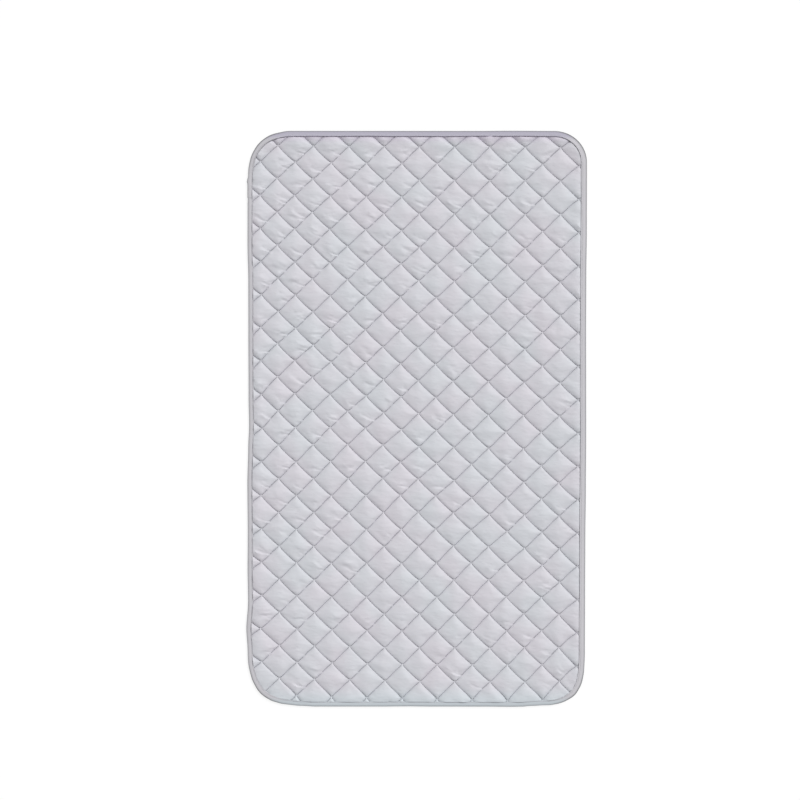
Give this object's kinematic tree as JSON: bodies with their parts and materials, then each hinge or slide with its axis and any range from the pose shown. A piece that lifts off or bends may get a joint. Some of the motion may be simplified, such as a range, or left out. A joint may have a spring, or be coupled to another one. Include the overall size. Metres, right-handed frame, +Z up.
{
  "type": "ironing pad",
  "caption": "Flat oblong ironing pad with rounded corners: silver-grey cloth quilted in diamonds over wadding, with a back cloth and a folded tape bound round its edge.",
  "frame": {"origin": "middle of the pad, on the table that it lies on", "axes": "+Y along the long side, towards the end with the tape's lap; +Z up, out of the ironing face"},
  "size_m": [0.5, 0.85, 0.0087],
  "materials": {
    "silver_cloth": "satin",
    "wadding": "matte",
    "back_cloth": "matte",
    "binding_tape": "matte",
    "face_thread": "satin",
    "back_thread": "satin"
  },
  "bodies": {
    "root": {"face_cloth": "silver_cloth", "wadding": "wadding", "back_cloth": "back_cloth", "edge_binding": "binding_tape", "binding_needle_thread": "face_thread", "quilt_needle_thread_01": "face_thread", "quilt_bobbin_thread_01": "back_thread", "quilt_needle_thread_02": "face_thread", "quilt_bobbin_thread_02": "back_thread", "quilt_needle_thread_03": "face_thread", "quilt_bobbin_thread_03": "back_thread", "quilt_needle_thread_04": "face_thread", "quilt_bobbin_thread_04": "back_thread", "quilt_needle_thread_05": "face_thread", "quilt_bobbin_thread_05": "back_thread", "quilt_needle_thread_06": "face_thread", "quilt_bobbin_thread_06": "back_thread", "quilt_needle_thread_07": "face_thread", "quilt_bobbin_thread_07": "back_thread", "quilt_needle_thread_08": "face_thread", "quilt_bobbin_thread_08": "back_thread", "quilt_needle_thread_09": "face_thread", "quilt_bobbin_thread_09": "back_thread", "quilt_needle_thread_10": "face_thread", "quilt_bobbin_thread_10": "back_thread", "quilt_needle_thread_11": "face_thread", "quilt_bobbin_thread_11": "back_thread", "quilt_needle_thread_12": "face_thread", "quilt_bobbin_thread_12": "back_thread", "quilt_needle_thread_13": "face_thread", "quilt_bobbin_thread_13": "back_thread", "quilt_needle_thread_14": "face_thread", "quilt_bobbin_thread_14": "back_thread", "quilt_needle_thread_15": "face_thread", "quilt_bobbin_thread_15": "back_thread", "quilt_needle_thread_16": "face_thread", "quilt_bobbin_thread_16": "back_thread", "quilt_needle_thread_17": "face_thread", "quilt_bobbin_thread_17": "back_thread", "quilt_needle_thread_18": "face_thread", "quilt_bobbin_thread_18": "back_thread", "quilt_needle_thread_19": "face_thread", "quilt_bobbin_thread_19": "back_thread", "quilt_needle_thread_20": "face_thread", "quilt_bobbin_thread_20": "back_thread"}
  },
  "joints": []
}
